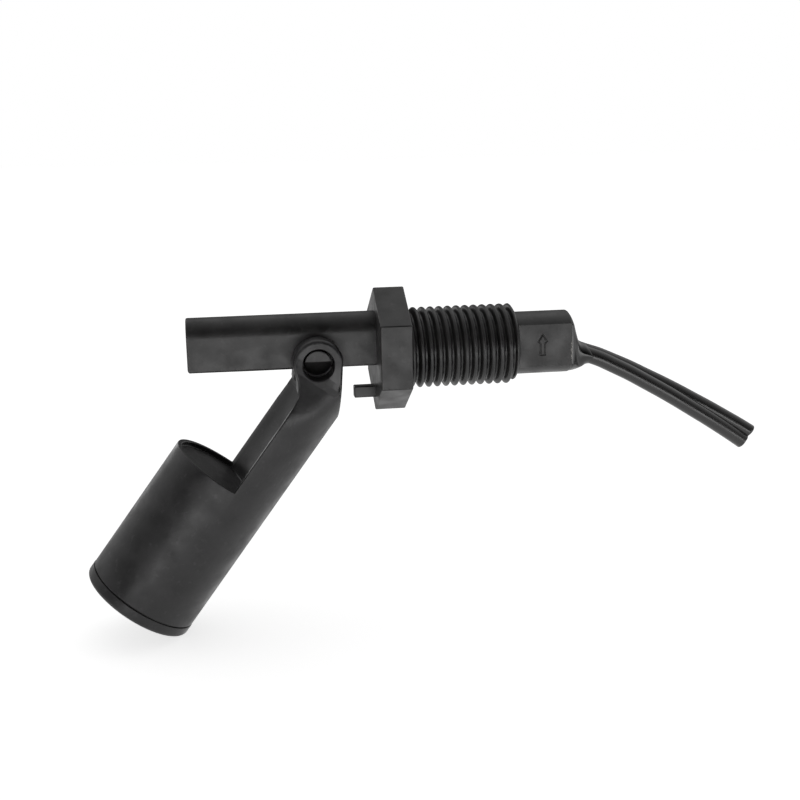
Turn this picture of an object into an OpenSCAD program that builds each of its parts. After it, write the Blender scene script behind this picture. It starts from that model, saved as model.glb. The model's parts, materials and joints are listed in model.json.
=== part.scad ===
// Side-entry float switch for a tank wall, in millimetres.
// The origin is on the thread's axis, in the hexagon's sealing face. +X runs
// out of the tank along the thread to the cable, +Z is up when the arrow on
// the tail points up, and the float hinges about an axis along Y.

/* [Stem] */
// Length of the stem from the hexagon to its tip
stem_len = 36.4; // [34:0.1:40]
// Width of the stem across its flat sides
stem_w = 7.4; // [6.8:0.1:7.8]
// Height of the stem's round top above the thread's axis
stem_top = 7.7; // [7.2:0.1:8.2]
// Depth of the stem's flat underside below the thread's axis
stem_drop = 2.6; // [2.4:0.1:3]

/* [Hexagon and thread] */
// Width of the hexagon across its flats
hex_af = 21.3; // [20.5:0.1:23]
// Thickness of the hexagon
hex_len = 6.1; // [5:0.1:7]
// Outside diameter of the metric thread
thread_d = 16; // [16:16]
// Length of the threaded shank
thread_len = 21.9; // [18:0.1:24]

/* [Tail] */
// Diameter of the tail barrel behind the thread
tail_d = 12.5; // [12:0.1:13]
// Width of the tail across its two flats
tail_flats = 9.2; // [8.9:0.1:9.8]
// Length of the tail barrel
tail_len = 10.8; // [10:0.1:14]

/* [Hinge] */
// Distance of the hinge from the sealing face
hinge_x = -17.8; // [-19:0.1:-17]
// Height of the hinge's axis against the thread's axis
hinge_z = -1.1; // [-1.3:0.1:-0.9]
// Diameter of the two moulded hinge stubs
stub_d = 5.2; // [4.6:0.1:5.6]
// Distance over the ends of the two stubs
stub_span = 14.4; // [13:0.1:15]
// Diameter of the holes in the float's ears
ear_hole_d = 6.1; // [5.9:0.1:6.3]
// Side of the square stop peg
peg_side = 2.3; // [2:0.1:2.5]
// Length of the stop peg from the hexagon
peg_len = 4.2; // [4:0.1:4.5]

/* [Float] */
// Outside diameter of the float
float_d = 23; // [22.5:0.1:24]
// Distance from the hinge to the float's top rim
float_start = 28.9; // [28:0.1:31]
// Length of the float's shell from its rim to the weld
shell_len = 29.5; // [26:0.1:34]
// Thickness of the welded end cap
cap_t = 2.5; // [2:0.1:3]
// Radius of the ears round the hinge
ear_r = 4.85; // [4.8:0.05:5.2]
// Distance over the outer faces of the ears at the hinge
ear_span = 17; // [16:0.1:18]
// Width of the slot between the ears and down the arm
ear_slot = 8.3; // [8.2:0.1:8.8]
// Angle of the float from hanging straight down, as drawn
rest_lean = 36.7; // [17.5:0.1:90]

/* [Reed switch and wires] */
// Diameter of the glass tube
glass_d = 2.2; // [1.8:0.1:2.3]
// Length of the glass tube
glass_len = 12; // [10:0.5:13]
// Diameter of each wire's insulation
core_d = 1.4; // [1.2:0.1:1.4]
// Diameter of each wire's copper strand
copper_d = 0.6; // [0.5:0.1:0.7]

/* [Cable] */
// Width of the twin cable's jacket
cable_w = 5.7; // [5.6:0.05:5.8]
// Thickness of the twin cable's jacket, which is each lobe's diameter
cable_t = 3.2; // [3.1:0.05:3.3]
// Turn of the jacket about its own line, from the tail to the cut end
cable_twist = 72; // [0:5:90]

/* [Hidden] */
$fn = 96;

body_black = "#3a3939";
float_black = "#403f40";
cable_black = "#2b2b2b";

// Where each stretch of the body ends along X
hex_back = -hex_len;
stem_tip = hex_back - stem_len;
tail_start = thread_len;
tail_end = tail_start + tail_len;
thread_r = thread_d / 2;
tail_r = tail_d / 2;
hex_r = hex_af / sqrt(3);
hex_bevel = 0.5;
end_bevel = 0.6;

// The stem is a half round on a box, with small rounds along its lower edges
// and a larger one across its tip
stem_r = stem_w / 2;
stem_edge = 0.5;
tip_round = 0.8;

// The core that the wiring is potted in
stem_bore_r = 2.7;
main_bore_r = 3.8;
stem_bore_z = 1;
stem_bore_tip = stem_tip + 1.3;
stem_bore_end = hex_back + 1;

// Stop peg and stubs
peg_z = -8.3;
stub_land = 0.5;
stub_ramp_end = 4.6;

// Float, drawn hanging from the hinge: p is the side of the arm, s runs down
axis_p = -1.15;
float_r = float_d / 2;
arm_cut_p = 0.25;
arm_bend_s = 9.2;
end_gap = 4.7;
heel_p = axis_p + float_r;
heel_s = 7.4;
slot_r = float_r - 1.6;
cheek_end_s = 10.5;
recess_depth = 1;
ear_taper_s = 1;
ear_taper_steps = 8;
ear_taper_ease = 1.6;
shell_wall = 1.3;
shell_top_t = 1.5;
weld_s = float_start + shell_len;
cavity_s = float_start + recess_depth + shell_top_t;
spigot_len = 2;
cap_edge = 0.8;
magnet_r = 4;
magnet_t = 3;
cup_wall = 1;
cup_len = 5;

// Reed switch
reed_y = -1.1;
return_y = 1.3;
wire_z = stem_bore_z;
glass_tip = stem_tip + 4.3;
glass_tail = glass_tip + glass_len;
glass_mid = (glass_tip + glass_tail) / 2;
glass_wall = 0.35;
glass_seal = 1.6;
lead_r = 0.25;
blade_w = 1.1;
blade_t = 0.2;
blade_lap = 0.8;
turn_x = glass_tip - 1.5;
joint_x = glass_tail + 3.5;
joint_half = 1;
solder_r = 0.55;
sleeve_wall = 0.25;
strip_len = 1.8;
core_r = core_d / 2;
copper_r = copper_d / 2;

// Cable and the resin collar round it
dome_h = 2.4;
cone_tilt = 20;
cone_len = 6;
lobe_points = 9;
web_angle = 42;
twist_ease = 2;
cord_route = [[22, 0, 1], [25, 0, 1], [28, 0, 0.6], [31, 0, -0.3], [34, 0, -1.4], [37, 0, -2.6],
              [40, 0, -3.7], [43, 0, -5.1], [46.5, 0, -6.8], [50, 0, -8.7], [53.5, 0, -10.6], [57, 0, -12.6],
              [60.5, 0, -14.7], [64, 0, -16.8], [67.5, 0, -19], [70, 0, -20.6], [72.4, 0, -22.2]];

// Round solids along X between two stations, and the same on the wiring's level
module along_x(x0, x1, r) {
    translate([x0, 0, 0]) rotate([0, 90, 0]) cylinder(r = r, h = x1 - x0);
}

module wire(y, x0, x1, r) { translate([0, y, wire_z]) along_x(x0, x1, r); }

// One moulding: stem, hexagon, shank, tail, stop peg and hinge stubs
module stem_profile() {
    top_z = stem_top - stem_r;
    translate([0, top_z]) circle(r = stem_r);
    translate([-stem_r, -stem_drop + stem_edge]) square([stem_w, top_z + stem_drop - stem_edge]);
    translate([-stem_r + stem_edge, -stem_drop]) square([stem_w - 2 * stem_edge, stem_edge + 0.1]);
    for (side = [-1, 1])
        translate([side * (stem_r - stem_edge), -stem_drop + stem_edge]) circle(r = stem_edge);
}

module stem() {
    difference() {
        translate([stem_tip, 0, 0]) rotate([90, 0, 90]) linear_extrude(stem_len + 1) stem_profile();
        translate([0, stem_w, 0]) rotate([90, 0, 0]) linear_extrude(2 * stem_w)
            polygon(concat([[stem_tip - 1, -stem_drop - 1], [stem_tip + tip_round, -stem_drop - 1]],
                           arc(stem_tip + tip_round, tip_round - stem_drop, tip_round, 270, 180, 6),
                           [[stem_tip - 1, tip_round - stem_drop]]));
    }
}

module hexagon() {
    intersection() {
        translate([hex_back, 0, 0]) rotate([0, 90, 0]) cylinder(r = hex_r, h = hex_len, $fn = 6);
        translate([hex_back, 0, 0]) rotate([0, 90, 0]) rotate_extrude()
            polygon([[0, 0], [hex_r - hex_bevel, 0], [hex_r, hex_bevel], [hex_r, hex_len - hex_bevel],
                     [hex_r - hex_bevel, hex_len], [0, hex_len]]);
    }
}

module shank() {
    rotate([0, 90, 0]) rotate_extrude()
        polygon([[0, -1], [thread_r, -1], [thread_r, thread_len - end_bevel],
                 [thread_r - end_bevel, thread_len], [0, thread_len]]);
}

module tail() {
    intersection() {
        translate([tail_start, 0, 0]) rotate([0, 90, 0]) rotate_extrude()
            polygon([[0, -1], [tail_r, -1], [tail_r, tail_len - end_bevel],
                     [tail_r - end_bevel, tail_len], [0, tail_len]]);
        translate([tail_start - 1, -tail_flats / 2, -tail_r])
            cube([tail_len + 1, tail_flats, 2 * tail_r]);
    }
}

module stop_peg() {
    translate([hex_back - peg_len, -peg_side / 2, peg_z - peg_side / 2])
        cube([peg_len + 1, peg_side, peg_side]);
}

// Each stub keeps a half-moon land and is ramped below it, to snap the ears on
module stubs() {
    difference() {
        translate([hinge_x, stub_span / 2, hinge_z]) rotate([90, 0, 0])
            cylinder(d = stub_d, h = stub_span);
        for (side = [0, 1]) mirror([0, side, 0])
            translate([hinge_x - stub_d, 0, hinge_z]) rotate([90, 0, 90])
                linear_extrude(2 * stub_d)
                    polygon([[stub_span / 2, stub_land], [stub_span / 2 + 1, stub_land],
                             [stub_span / 2 + 1, -stub_d], [stub_ramp_end, -stub_d],
                             [stub_ramp_end, -stub_d / 2]]);
    }
}

module bore() {
    translate([0, 0, stem_bore_z]) along_x(stem_bore_tip, stem_bore_end + 0.1, stem_bore_r);
    along_x(stem_bore_end, tail_end, main_bore_r);
}

module switch_body() {
    color(body_black) difference() {
        union() {
            stem();
            hexagon();
            shank();
            tail();
            stop_peg();
            stubs();
        }
        bore();
        along_x(tail_end - 0.1, tail_end + 1, main_bore_r);
    }
}

// The float is drawn in p, y and -s and then hung on the hinge at its lean
module on_hinge() {
    translate([hinge_x, 0, hinge_z]) rotate([0, rest_lean, 0]) children();
}

module float_cyl(s0, s1, r) {
    translate([axis_p, 0, -s1]) cylinder(r = r, h = s1 - s0);
}

// Side view of the arm: a lobe round the hinge, a straight end from the lobe to
// the heel, the float's wall, and a cut edge that runs into the lobe in a hollow
heel_reach = norm([heel_p, heel_s]);
end_angle = atan2(heel_p, heel_s) + acos(end_gap / heel_reach);
end_foot = end_gap * [sin(end_angle), -cos(end_angle)];
end_top = end_foot + sqrt(ear_r * ear_r - end_gap * end_gap) * [cos(end_angle), sin(end_angle)];
end_low = end_top + 1.3 * ([heel_p, -heel_s] - end_top);
neck_r = (arm_cut_p * arm_cut_p + arm_bend_s * arm_bend_s - ear_r * ear_r) / (2 * (ear_r + arm_cut_p));
neck_p = arm_cut_p - neck_r;
neck_angle = atan2(arm_bend_s, -neck_p);

function arc(p, z, r, from, to, steps) =
    [for (i = [0 : steps]) let (a = from + (to - from) * i / steps) [p + r * cos(a), z + r * sin(a)]];

module across(r) {
    translate([0, float_d, 0]) rotate([90, 0, 0]) cylinder(r = r, h = 2 * float_d);
}

// Everything beside the arm and round its lobes, above the float's rim
module beside_arm() {
    translate([0, float_d, 0]) rotate([90, 0, 0]) linear_extrude(2 * float_d)
        polygon(concat([[-float_d, -float_start], [-float_d, float_d], [float_d, float_d],
                        [float_d, end_low[1]], end_low],
                       arc(0, 0, ear_r, atan2(end_top[1], end_top[0]), 180 + neck_angle, 40),
                       arc(neck_p, -arm_bend_s, neck_r, neck_angle, 0, 12),
                       [[arm_cut_p, -float_start]]));
}

// The slot between the ears runs down the arm to the recess in the float's top
module arm_slot() {
    intersection() {
        float_cyl(-ear_r - 2, float_start + recess_depth, slot_r);
        translate([-float_d, -ear_slot / 2, -2 * float_d]) cube([2 * float_d, ear_slot, 3 * float_d]);
    }
}

module top_recess() {
    intersection() {
        float_cyl(float_start - 1, float_start + recess_depth, slot_r);
        translate([arm_cut_p - 2 * float_d, -float_d, -2 * float_d]) cube(2 * float_d);
    }
}

// Each ear's outer face is flat at the hinge and curves out to the round wall
module ear_cheek_space() {
    translate([-float_d, 0, 0]) rotate([90, 0, 90]) linear_extrude(2 * float_d)
        polygon(concat([[ear_span / 2, ear_r + 2], [float_d, ear_r + 2], [float_d, -cheek_end_s]],
                       [for (i = [ear_taper_steps : -1 : 0]) let (t = i / ear_taper_steps)
                           [ear_span / 2 + (float_r - ear_span / 2) * pow(t, ear_taper_ease),
                            -ear_taper_s - (cheek_end_s - ear_taper_s) * t]]));
}

module float_shell() {
    color(float_black) on_hinge() difference() {
        float_cyl(-ear_r - 1, weld_s, float_r);
        beside_arm();
        top_recess();
        arm_slot();
        across(ear_hole_d / 2);
        ear_cheek_space();
        mirror([0, 1, 0]) ear_cheek_space();
        difference() {
            float_cyl(cavity_s, weld_s + 1, float_r - shell_wall);
            difference() {
                float_cyl(cavity_s - 1, cavity_s + cup_len, magnet_r + cup_wall);
                float_cyl(cavity_s - 2, cavity_s + cup_len + 1, magnet_r);
            }
        }
    }
}

module float_end_cap() {
    edge_r = float_r - cap_edge;
    color(float_black) on_hinge() {
        translate([axis_p, 0, -weld_s]) rotate([180, 0, 0]) rotate_extrude() {
            square([edge_r, cap_t]);
            square([float_r, cap_t - cap_edge]);
            translate([edge_r, cap_t - cap_edge]) intersection() {
                circle(r = cap_edge);
                square(cap_edge);
            }
        }
        difference() {
            float_cyl(weld_s - spigot_len, weld_s + 0.1, float_r - shell_wall);
            float_cyl(weld_s - spigot_len - 1, weld_s, float_r - 2 * shell_wall);
        }
    }
}

module float_magnet() {
    color("#6d6f72") on_hinge() float_cyl(cavity_s, cavity_s + magnet_t, magnet_r);
}

// Reed switch: a sealed glass tube with two flat blades that overlap in its middle
module reed_glass() {
    color("#9fc6b4", 0.5) translate([0, reed_y, wire_z]) difference() {
        along_x(glass_tip, glass_tail, glass_d / 2);
        along_x(glass_tip + glass_seal, glass_tail - glass_seal, glass_d / 2 - glass_wall);
        along_x(glass_tip - 1, glass_tail + 1, lead_r);
    }
}

module blade(x0, x1, z) {
    translate([x0, reed_y - blade_w / 2, wire_z + z]) cube([x1 - x0, blade_w, blade_t]);
}

// The tip blade's lead turns across to the wire that runs back past the glass
module reed_blade_tip() {
    color("#b9b6ae") {
        wire(reed_y, turn_x - lead_r, glass_tip + glass_seal + 0.5, lead_r);
        translate([turn_x, return_y, wire_z]) rotate([90, 0, 0])
            cylinder(r = lead_r, h = return_y - reed_y);
        blade(glass_tip + glass_seal + 0.3, glass_mid + blade_lap, 0.05);
    }
}

module reed_blade_tail() {
    color("#b9b6ae") {
        wire(reed_y, glass_tail - glass_seal - 0.5, joint_x, lead_r);
        blade(glass_mid - blade_lap, glass_tail - glass_seal - 0.3, -0.05 - blade_t);
    }
}

// Two insulated copper cores run straight from the cable's jacket into the stem
copper_tip = turn_x + lead_r;
insulation_a_tip = joint_x + strip_len;
insulation_b_tip = copper_tip + strip_len;
jacket_start = cord_route[0][0];

module copper_core_a() { color("#c07a45") wire(reed_y, joint_x, jacket_start, copper_r); }

module copper_core_b() { color("#c07a45") wire(return_y, copper_tip, jacket_start, copper_r); }

module core_insulation_a() {
    color("#8e2f2a") difference() {
        wire(reed_y, insulation_a_tip, jacket_start, core_r);
        wire(reed_y, insulation_a_tip - 1, jacket_start + 1, copper_r);
    }
}

module core_insulation_b() {
    color("#26282c") difference() {
        wire(return_y, insulation_b_tip, jacket_start, core_r);
        wire(return_y, insulation_b_tip - 1, jacket_start + 1, copper_r);
    }
}

module solder_joint_tip() {
    color("#a9adb0") difference() {
        wire(return_y, copper_tip, copper_tip + joint_half, solder_r);
        wire(return_y, copper_tip - 1, copper_tip + strip_len, copper_r);
    }
}

module solder_joint_tail() {
    color("#a9adb0") difference() {
        wire(reed_y, joint_x - joint_half, joint_x + joint_half, solder_r);
        wire(reed_y, joint_x - strip_len, joint_x, lead_r);
        wire(reed_y, joint_x, joint_x + strip_len, copper_r);
    }
}

// Shrink sleeves: one over the tail joint, one over the wire beside the glass
sleeve_r = core_r + sleeve_wall;
sleeve_tail_start = joint_x - joint_half - 1;
sleeve_tail_end = insulation_a_tip + 3;
sleeve_tip_end = glass_tail + 1;

module sleeve(y, x0, x1) {
    color("#1d1d1f") difference() {
        wire(y, x0, x1, sleeve_r);
        wire(y, x0 - 1, x1 + 1, core_r);
    }
}

module sleeve_tip() { sleeve(return_y, insulation_b_tip, sleeve_tip_end); }

module sleeve_tail() { sleeve(reed_y, sleeve_tail_start, sleeve_tail_end); }

// The jacket is two round lobes with a web between them, and it turns about its
// own line, slowly at first. Its outline is a list of [across, thick] pairs.
jacket_outline = [for (side = [0, 180]) for (i = [0 : lobe_points - 1])
    let (a = side - 180 + web_angle + (360 - 2 * web_angle) * i / (lobe_points - 1))
    [cos(side) * (cable_w - cable_t) / 2 + cos(a) * cable_t / 2, sin(a) * cable_t / 2]];
function unit(v) = v / norm(v);
function route_dir(i) = unit(cord_route[min(i + 1, len(cord_route) - 1)] - cord_route[max(i - 1, 0)]);
function jacket_ring(i) =
    let (t = route_dir(i), n = cross(t, [0, 1, 0]),
         turn = cable_twist * pow(i / (len(cord_route) - 1), twist_ease),
         wide = cos(turn) * [0, 1, 0] + sin(turn) * n, thin = cos(turn) * n - sin(turn) * [0, 1, 0])
    [for (point = jacket_outline) cord_route[i] + point[0] * wide + point[1] * thin];

module cable_jacket() {
    rings = len(cord_route);
    side = len(jacket_outline);
    points = [for (i = [0 : rings - 1]) each jacket_ring(i)];
    skin = [for (i = [0 : rings - 2]) for (k = [0 : side - 1])
                let (a = i * side + k, b = i * side + (k + 1) % side)
                each [[a, b, b + side], [a, b + side, a + side]]];
    first = [for (k = [side - 1 : -1 : 0]) k];
    last = [for (k = [0 : side - 1]) (rings - 1) * side + k];
    color(cable_black) polyhedron(points, concat([first], skin, [last]), convexity = 4);
}

// Resin fills the bore round all of the wiring, domes over the tail's end and
// creeps up the cable as a short cone
module resin_dome() {
    dome_r = (tail_r * tail_r + dome_h * dome_h) / (2 * dome_h);
    intersection() {
        translate([tail_end + dome_h - dome_r, 0, 0]) sphere(r = dome_r);
        translate([tail_end, -tail_flats / 2, -tail_r]) cube([dome_h + 1, tail_flats, 2 * tail_r]);
    }
}

module resin_cone() {
    intersection() {
        translate([tail_end - 1, 0, -0.8]) rotate([0, 90 + cone_tilt, 0])
            cylinder(r1 = main_bore_r + 0.4, r2 = cable_w / 2, h = cone_len);
        translate([tail_end, -tail_r, -2 * tail_r]) cube([2 * cone_len, 2 * tail_r, 4 * tail_r]);
    }
}

module potting_resin() {
    color("#1b1b1c") difference() {
        union() {
            bore();
            resin_dome();
            resin_cone();
        }
        wire(reed_y, glass_tip, glass_tail, glass_d / 2);
        wire(reed_y, turn_x - lead_r, glass_tip + 0.1, lead_r);
        translate([turn_x, return_y, wire_z]) rotate([90, 0, 0])
            cylinder(r = lead_r, h = return_y - reed_y);
        wire(return_y, copper_tip, copper_tip + joint_half, solder_r);
        wire(return_y, copper_tip, insulation_b_tip + 0.1, copper_r);
        wire(return_y, insulation_b_tip, sleeve_tip_end, sleeve_r);
        wire(return_y, sleeve_tip_end - 0.1, jacket_start, core_r);
        wire(reed_y, glass_tail - 0.1, sleeve_tail_start + 0.1, lead_r);
        wire(reed_y, sleeve_tail_start, sleeve_tail_end, sleeve_r);
        wire(reed_y, sleeve_tail_end - 0.1, jacket_start, core_r);
    }
}

switch_body();
float_shell();
float_end_cap();
float_magnet();
reed_glass();
reed_blade_tip();
reed_blade_tail();
solder_joint_tip();
solder_joint_tail();
sleeve_tip();
sleeve_tail();
copper_core_a();
copper_core_b();
core_insulation_a();
core_insulation_b();
potting_resin();
cable_jacket();
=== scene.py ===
"""A side-entry float switch: one moulded body with its thread, a hinged float and a short twin cable.

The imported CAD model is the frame. Pieces whose finish needs more than the CAD solid holds are
worked out here as surfaces, and every other node keeps its solid and gets its material.
All lengths are metres in the part's own frame: X along the thread out of the tank, Z up.
"""

import json
import math

import bmesh
import bpy
import numpy as np
from bpy.props import FloatProperty, FloatVectorProperty, PointerProperty
from bpy.types import Operator, Panel, PropertyGroup
from mathutils import Matrix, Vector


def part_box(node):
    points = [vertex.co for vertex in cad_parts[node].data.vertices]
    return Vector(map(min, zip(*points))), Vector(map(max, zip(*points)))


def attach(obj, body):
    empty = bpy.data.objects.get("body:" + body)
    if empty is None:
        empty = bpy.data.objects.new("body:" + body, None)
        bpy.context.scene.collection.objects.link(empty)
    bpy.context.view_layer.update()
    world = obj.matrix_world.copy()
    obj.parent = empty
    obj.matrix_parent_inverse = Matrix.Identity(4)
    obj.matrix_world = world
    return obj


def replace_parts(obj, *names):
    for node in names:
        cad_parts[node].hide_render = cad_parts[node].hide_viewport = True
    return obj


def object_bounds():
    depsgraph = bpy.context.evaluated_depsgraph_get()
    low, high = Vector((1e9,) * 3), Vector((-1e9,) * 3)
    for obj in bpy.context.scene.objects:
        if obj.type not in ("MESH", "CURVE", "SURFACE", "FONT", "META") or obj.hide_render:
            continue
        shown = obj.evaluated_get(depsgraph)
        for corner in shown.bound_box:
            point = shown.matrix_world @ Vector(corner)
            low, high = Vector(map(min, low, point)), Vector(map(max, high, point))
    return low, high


bl_info = {
    "name": "Hinged float switch",
    "version": (1, 0, 0),
    "blender": (4, 5, 0),
    "location": "3D View > Sidebar > Float switch",
    "description": "Builds the visible surfaces and finishes of a side-entry float switch",
    "category": "Object",
}

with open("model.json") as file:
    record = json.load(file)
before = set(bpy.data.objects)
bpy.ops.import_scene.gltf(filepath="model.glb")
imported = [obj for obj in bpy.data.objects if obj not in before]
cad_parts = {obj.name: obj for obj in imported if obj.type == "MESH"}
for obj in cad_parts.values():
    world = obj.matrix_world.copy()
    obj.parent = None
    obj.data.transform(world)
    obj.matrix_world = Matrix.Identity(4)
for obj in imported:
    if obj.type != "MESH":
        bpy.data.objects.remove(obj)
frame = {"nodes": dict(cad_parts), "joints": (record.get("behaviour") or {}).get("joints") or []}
CAD_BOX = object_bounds()
MM = 0.001

# Places that the frame already holds
BODY_LOW, BODY_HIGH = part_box("switch_body")
HINGE = np.array(frame["joints"][0]["pos_m"])
FLOAT_LEAN = math.radians(36.7)
ACROSS_THE_FLOAT = np.array([math.cos(FLOAT_LEAN), 0, -math.sin(FLOAT_LEAN)])
DOWN_THE_FLOAT = np.array([-math.sin(FLOAT_LEAN), 0, -math.cos(FLOAT_LEAN)])

# Places on the CAD float: the arm's cut faces, half the slot between its cheeks, and the top with its recess
CUT_FACE, SLOT_HALF = 0.25 * MM, 4.15 * MM
RECESS_FLOOR, FLOAT_TOP = 28.9 * MM, 29.9 * MM
# Two faces that meet at more than this many degrees have an edge between them
EDGE_MEET = 25

# A pattern's scale on X, Y and Z where it is drawn out twenty times along X, as on wire
DRAWN_OUT = (0.05, 1, 1)

# The cable's own line, from inside the resin to the cut end, as the CAD solid has it
CORD_ROUTE = np.array([
    (22, 0, 1), (25, 0, 1), (28, 0, 0.6), (31, 0, -0.3), (34, 0, -1.4), (37, 0, -2.6),
    (40, 0, -3.7), (43, 0, -5.1), (46.5, 0, -6.8), (50, 0, -8.7), (53.5, 0, -10.6), (57, 0, -12.6),
    (60.5, 0, -14.7), (64, 0, -16.8), (67.5, 0, -19), (70, 0, -20.6), (72.4, 0, -22.2),
]) * MM


def linear(code):
    """An sRGB hex colour as linear values: c / 12.92 up to 0.04045, above it ((c + 0.055) / 1.055) ** 2.4."""
    channels = [int(code[i:i + 2], 16) / 255 for i in (1, 3, 5)]
    return [c / 12.92 if c <= 0.04045 else ((c + 0.055) / 1.055) ** 2.4 for c in channels]


def length(name, description, millimetres):
    """A length property in metres, its default given in millimetres."""
    return FloatProperty(name=name, description=description, default=millimetres * MM,
                         unit="LENGTH", precision=5)


def colour(name, description, code):
    """A colour property with an sRGB hex default."""
    return FloatVectorProperty(name=name, description=description, default=linear(code),
                               subtype="COLOR", min=0, max=1)


class BodySizes(PropertyGroup):
    """Sizes of the body moulding"""

    stem_width: length("Stem width", "Width over the stem's flat sides", 7.4)
    stem_top: length("Stem top", "Height of the stem's round top above the thread's axis", 7.7)
    stem_drop: length("Stem drop", "Depth of the stem's underside below the thread's axis", 2.6)
    stem_edge: length("Stem edge", "Radius of the stem's lower edges", 0.5)
    tip_round: length("Tip rounding", "Radius of the lower corner at the stem's tip", 0.8)
    hexagon_width: length("Hexagon width", "Width across the hexagon's flats", 21.3)
    hexagon_length: length("Hexagon length", "Thickness of the hexagon", 6.1)
    thread_diameter: length("Thread diameter", "Diameter over the thread's crests", 16)
    thread_length: length("Thread length", "Length of the threaded shank", 21.9)
    thread_pitch: length("Thread pitch", "Distance from crest to crest", 1.75)
    thread_depth: length("Thread depth", "Height of the crests above the root", 1.1)
    tail_diameter: length("Tail diameter", "Diameter of the tail barrel", 12.5)
    tail_lip: length("Tail lip", "How far the barrel's wall stands out round the resin", 0.4)
    tail_flats: length("Tail flats", "Width across the tail's two flats", 9.2)
    arrow_height: length("Arrow height", "Height of the arrow cut into the front flat", 4.14)
    arrow_depth: length("Arrow depth", "Depth of the arrow's outline", 0.16)
    peg_side: length("Peg side", "Side of the square stop peg", 2.3)
    peg_length: length("Peg length", "Length of the stop peg", 4.2)
    stub_diameter: length("Stub diameter", "Diameter of the hinge stubs", 5.2)
    stub_span: length("Stub span", "Distance over the ends of the hinge stubs", 14.4)


class FloatSizes(PropertyGroup):
    """Sizes of the float"""

    diameter: length("Float diameter", "Outside diameter of the float", 23)
    axis_offset: length("Axis offset", "Offset of the float's axis from the hinge, across the arm", -1.15)
    weld_distance: length("Weld distance", "Distance from the hinge to the weld", 58.4)
    cap_thickness: length("Cap thickness", "Thickness of the end cap", 2.5)
    cap_edge: length("Cap edge", "Radius of the end cap's edge", 0.8)
    edge_round: length("Edge rounding", "Width of the rounding on the shell's edges", 0.22)
    ear_round: length("Ear rounding", "Width of the rounding on the ears' outer edges", 0.75)
    arm_round: length("Arm rounding", "Width of the rounding on the arm's edges", 0.4)
    cheek_blend: length("Cheek blend", "Depth over which the cheeks run into the round wall", 1.6)
    rim_thinning: length("Rim thinning", "How much thinner the recess's rim is than the solid's", 0.7)
    dish_radius: length("Dish radius", "Radius of the hollow along the arm", 16.5)
    dish_half: length("Dish half width", "Half the width of the hollow along the arm", 10.2)


class CableSizes(PropertyGroup):
    """Sizes of the cable and the resin round it"""

    width: length("Cable width", "Width over both lobes of the jacket", 5.7)
    thickness: length("Cable thickness", "Diameter of each lobe of the jacket", 3.2)
    twist: FloatProperty(name="Cable twist", description="Turn of the jacket from its start to the cut end",
                         default=math.radians(72), subtype="ANGLE")
    twist_ease: FloatProperty(name="Twist ease", description="Power by which the turn gathers towards the end",
                              default=2)
    cut_slant: length("Cut slant", "How far the cut lies ahead at one core and back at the other", 0.22)
    copper_diameter: length("Copper diameter", "Diameter of each copper strand", 0.6)
    core_diameter: length("Core diameter", "Diameter of each core's insulation", 1.4)


class SwitchColours(PropertyGroup):
    """Colours of the visible finishes"""

    body: colour("Body", "Moulded polypropylene of the body", "#1f1e1e")
    float_shell: colour("Float", "Moulded polypropylene of the float", "#201f20")
    jacket: colour("Jacket", "Cable jacket", "#1c1a1a")
    resin: colour("Resin", "Potting resin", "#0e0e0e")
    floor: colour("Floor", "Floor and backdrop", "#f4f4f4")


def arc(across, up, radius, start, end, count):
    """Points (across + radius cos a, up + radius sin a), a going from start to end in degrees."""
    a = np.radians(np.linspace(start, end, count))
    return np.stack([across + radius * np.cos(a), up + radius * np.sin(a)], -1)


def turns(count):
    """Angles evenly round a full circle."""
    return np.linspace(0, 2 * math.pi, count, endpoint=False)


def stations(start, end, start_round, end_round, spans=1):
    """Place and draw-in of each ring of a bar: a quarter circle at each end and even steps between them."""
    quarter = np.radians(np.linspace(0, 90, 6))
    back, inset = 1 - np.sin(quarter), 1 - np.cos(quarter)
    middle = np.linspace(start + start_round, end - end_round, spans + 1)[1:-1]
    places = np.concatenate([start + start_round * back[::-1], middle, end - end_round * back])
    insets = np.concatenate([start_round * inset[::-1], np.zeros(spans - 1), end_round * inset])
    return list(zip(places, insets))


def along_x(outline, places):
    """Rings of a bar along X: ring i is outline(inset), a list of (y, z), at its place x."""
    rings = []
    for x, inset in places:
        points = outline(inset)
        rings.append(np.column_stack([np.full(len(points), x), points]))
    return np.array(rings)


def closed_tube(rings):
    """Vertices and faces of a tube through rings[i, k], each end closed by a fan round its middle point.

    Each ring runs anticlockwise about the direction of travel, so the faces point outwards.
    """
    count, sides = rings.shape[:2]
    row, k = np.meshgrid(np.arange(count - 1), np.arange(sides), indexing="ij")
    here, beside = row * sides + k, row * sides + (k + 1) % sides
    quads = np.stack([here, beside, beside + sides, here + sides], -1).reshape(-1, 4)
    k = np.arange(sides)
    first = np.stack([(k + 1) % sides, k, np.full(sides, count * sides)], -1)
    base = (count - 1) * sides
    last = np.stack([base + k, base + (k + 1) % sides, np.full(sides, count * sides + 1)], -1)
    middles = rings[[0, -1]].mean(axis=1)
    vertices = np.concatenate([rings.reshape(-1, 3), middles])
    return vertices, quads.tolist() + first.tolist() + last.tolist()


def add_piece(name, vertices, faces, body, material, slot, sharp=40, even=True):
    """Makes a mesh piece that rides on a CAD body, smooth but for edges sharper than the given angle."""
    mesh = bpy.data.meshes.new(name)
    mesh.from_pydata(vertices.tolist(), [], faces)
    mesh.polygons.foreach_set("use_smooth", np.ones(len(mesh.polygons), bool))
    mesh.set_sharp_from_angle(angle=math.radians(sharp))
    mesh.materials.append(material)
    mesh.update()
    piece = bpy.data.objects.new(name, mesh)
    bpy.context.scene.collection.objects.link(piece)
    if even:
        shading = piece.modifiers.new("Even shading", "WEIGHTED_NORMAL")
        shading.keep_sharp = True
    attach(piece, body)
    return piece


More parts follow.
